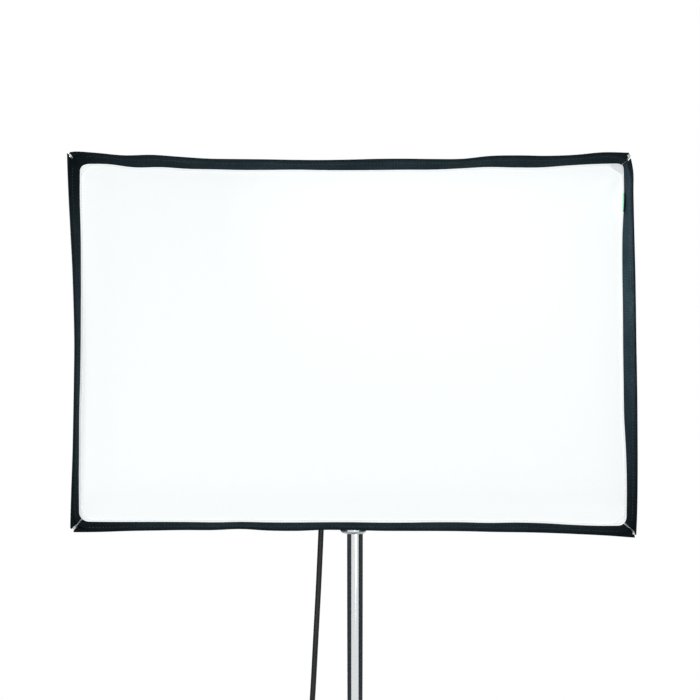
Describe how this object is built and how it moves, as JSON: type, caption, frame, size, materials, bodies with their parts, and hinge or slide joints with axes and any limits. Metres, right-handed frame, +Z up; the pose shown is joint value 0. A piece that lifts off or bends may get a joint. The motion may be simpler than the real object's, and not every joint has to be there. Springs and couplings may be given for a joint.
{
  "type": "softbox",
  "caption": "Rectangular black softbox with a white front diffuser on a flash head, tilt bracket and chrome folding stand, with its lead and coil.",
  "frame": {"origin": "on the floor, under the middle of the object's overall box without its lead", "axes": "+Z up, the lit front of the softbox faces -Y, +X is to the right as seen from the front"},
  "size_m": [0.9116, 0.763, 1.5052],
  "materials": {
    "shell_nylon": "matte",
    "lip_nylon": "matte",
    "tape_nylon": "satin",
    "diffuser_nylon": "matte",
    "tab_nylon": "matte",
    "strap_webbing": "matte",
    "spring_steel": "satin",
    "cap_plastic": "gloss",
    "cast_aluminium": "satin",
    "mount_aluminium": "satin",
    "socket_paint": "satin",
    "housing_paint": "satin",
    "bracket_paint": "satin",
    "black_plastic": "matte",
    "panel_plastic": "matte",
    "switch_plastic": "gloss",
    "button_plastic": "gloss",
    "ceramic": "matte",
    "frosted_glass": "satin",
    "tube_glass": "gloss",
    "board_laminate": "satin",
    "tube_chrome": "polished",
    "foot_rubber": "matte",
    "lead_rubber": "satin"
  },
  "bodies": {
    "stand": {"column": "tube_chrome", "collar": "cast_aluminium", "base_collars": "cast_aluminium", "leg_1": "tube_chrome", "foot_1": "foot_rubber", "lead_lower": "lead_rubber", "lead_coil": "lead_rubber", "coil_tie": "strap_webbing", "connector_body": "panel_plastic", "connector_ring": "tube_chrome"},
    "leg_2": {"leg_2": "tube_chrome", "foot_2": "foot_rubber"},
    "leg_3": {"leg_3": "tube_chrome", "foot_3": "foot_rubber"},
    "collar_knob": {"collar_knob": "housing_paint"},
    "riser": {"riser_tube": "tube_chrome", "riser_spigot": "spring_steel", "tilt_fork": "bracket_paint", "tilt_bolt": "spring_steel", "lead_guide": "black_plastic", "lead_upper": "lead_rubber"},
    "spigot_knob": {"spigot_knob": "black_plastic"},
    "tilt_lever": {"tilt_lever": "black_plastic"},
    "lamp": {"lamp_housing": "housing_paint", "lamp_mount": "mount_aluminium", "retaining_ring": "cast_aluminium", "retaining_screws": "spring_steel", "lamp_holder": "ceramic", "frosted_globe": "frosted_glass", "flash_tube": "tube_glass", "driver_board": "board_laminate", "rear_panel": "panel_plastic", "tilt_foot": "bracket_paint", "lead_gland": "black_plastic"},
    "dial": {"power_dial": "black_plastic"},
    "switch": {"power_switch": "switch_plastic"},
    "button": {"test_button": "button_plastic"},
    "softbox": {"speed_ring": "cast_aluminium", "rod_sockets": "socket_paint", "rod_top_right": "spring_steel", "rod_top_left": "spring_steel", "rod_bottom_left": "spring_steel", "rod_bottom_right": "spring_steel", "rod_tips": "cap_plastic", "shell_top": "shell_nylon", "shell_left": "shell_nylon", "shell_bottom": "shell_nylon", "shell_right": "shell_nylon", "lip_top": "lip_nylon", "lip_left": "lip_nylon", "lip_bottom": "lip_nylon", "lip_right": "lip_nylon", "corner_tapes": "tape_nylon", "rear_flaps": "shell_nylon", "front_diffuser": "diffuser_nylon", "inner_baffle": "diffuser_nylon", "baffle_ties": "strap_webbing", "pull_tab": "tab_nylon"},
    "ring_knob": {"ring_knob": "black_plastic"}
  },
  "joints": [
    {"name": "leg_2_swing", "type": "hinge", "parent": "stand", "child": "leg_2", "pos_m": [0, 0.15397, 0.122], "axis": [0, 0, 1], "range_deg": [-95, 0]},
    {"name": "leg_3_swing", "type": "hinge", "parent": "stand", "child": "leg_3", "pos_m": [0, 0.15397, 0.157], "axis": [0, 0, 1], "range_deg": [0, 95]},
    {"name": "collar_knob_turn", "type": "hinge", "parent": "stand", "child": "collar_knob", "pos_m": [0, 0.15397, 0.8675], "axis": [0, 1, 0], "range_deg": [0, 180]},
    {"name": "height_slide", "type": "slide", "parent": "stand", "child": "riser", "axis": [0, 0, 1], "range_m": [-0.06, 0.4], "deforming": ["lead_lower"]},
    {"name": "spigot_knob_turn", "type": "hinge", "parent": "riser", "child": "spigot_knob", "pos_m": [0, 0.15397, 1.016], "axis": [0, 1, 0], "range_deg": [-180, 180]},
    {"name": "tilt_lever_turn", "type": "hinge", "parent": "riser", "child": "tilt_lever", "pos_m": [0.0266, 0.15397, 1.09], "axis": [1, 0, 0], "range_deg": [-45, 45]},
    {"name": "tilt", "type": "hinge", "parent": "riser", "child": "lamp", "pos_m": [0, 0.15397, 1.09], "axis": [1, 0, 0], "range_deg": [-45, 45], "deforming": ["lead_upper"]},
    {"name": "dial_turn", "type": "hinge", "parent": "lamp", "child": "dial", "pos_m": [0, 0.29447, 1.222], "axis": [0, 1, 0], "range_deg": [-150, 150]},
    {"name": "switch_rock", "type": "hinge", "parent": "lamp", "child": "switch", "pos_m": [0, 0.29247, 1.176], "axis": [1, 0, 0], "range_deg": [-7, 7]},
    {"name": "button_press", "type": "slide", "parent": "lamp", "child": "button", "axis": [0, -1, 0], "range_m": [0, 0.002], "stiffness_N_per_m": 300},
    {"name": "softbox_turn", "type": "hinge", "parent": "lamp", "child": "softbox", "pos_m": [0, 0.04847, 1.2], "axis": [0, 1, 0], "range_deg": [-90, 90]},
    {"name": "ring_knob_turn", "type": "hinge", "parent": "softbox", "child": "ring_knob", "pos_m": [0, 0.05197, 1.29], "axis": [0, 0, 1], "range_deg": [-180, 180]}
  ]
}
